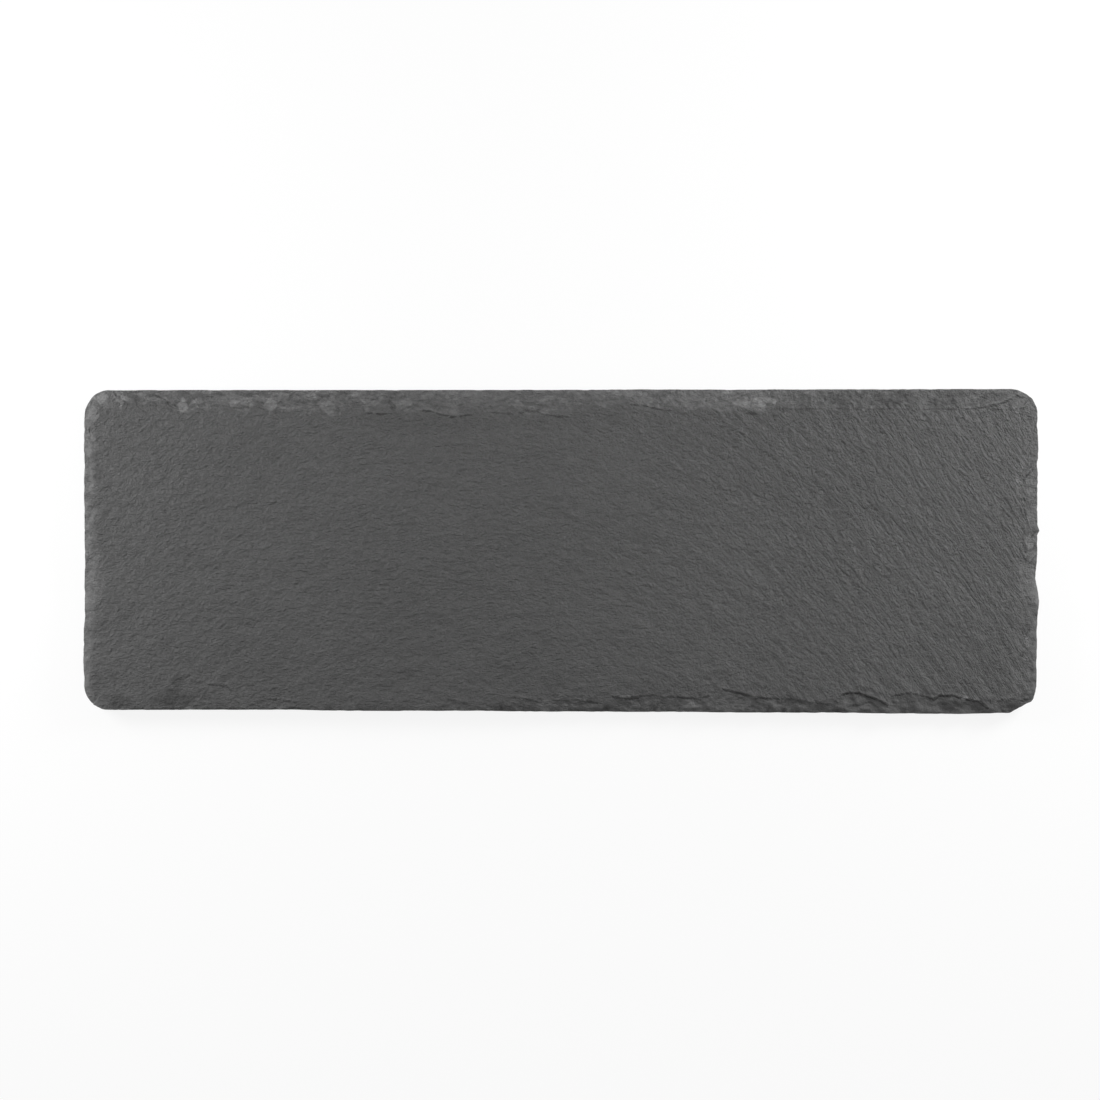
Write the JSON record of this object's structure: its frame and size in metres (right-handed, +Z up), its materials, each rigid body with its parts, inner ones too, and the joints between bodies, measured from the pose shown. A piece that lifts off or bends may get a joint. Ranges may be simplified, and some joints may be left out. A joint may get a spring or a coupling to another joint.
{
  "type": "slate serving board",
  "caption": "Long rectangular serving board of natural cleft slate with hand-dressed bevelled edges, standing on stick-on rubber feet.",
  "frame": {"origin": "under the middle of the board, on the surface that its feet stand on", "axes": "+X along the board, the end with the broken corner at +X and -Y; +Y across the board, towards the long side at the top of the picture; +Z up"},
  "size_m": [0.3, 0.102, 0.007],
  "materials": {
    "slate": "natural cleft slate, dry, matt with a faint sheen",
    "foot_rubber": "matt moulded rubber",
    "adhesive_film": "thin double-sided adhesive film"
  },
  "bodies": {
    "root": {"slate_slab": "slate", "foot_pad_front_left": "foot_rubber", "foot_pad_front_right": "foot_rubber", "foot_pad_back_left": "foot_rubber", "foot_pad_back_right": "foot_rubber", "adhesive_film_front_left": "adhesive_film", "adhesive_film_front_right": "adhesive_film", "adhesive_film_back_left": "adhesive_film", "adhesive_film_back_right": "adhesive_film"}
  },
  "joints": []
}
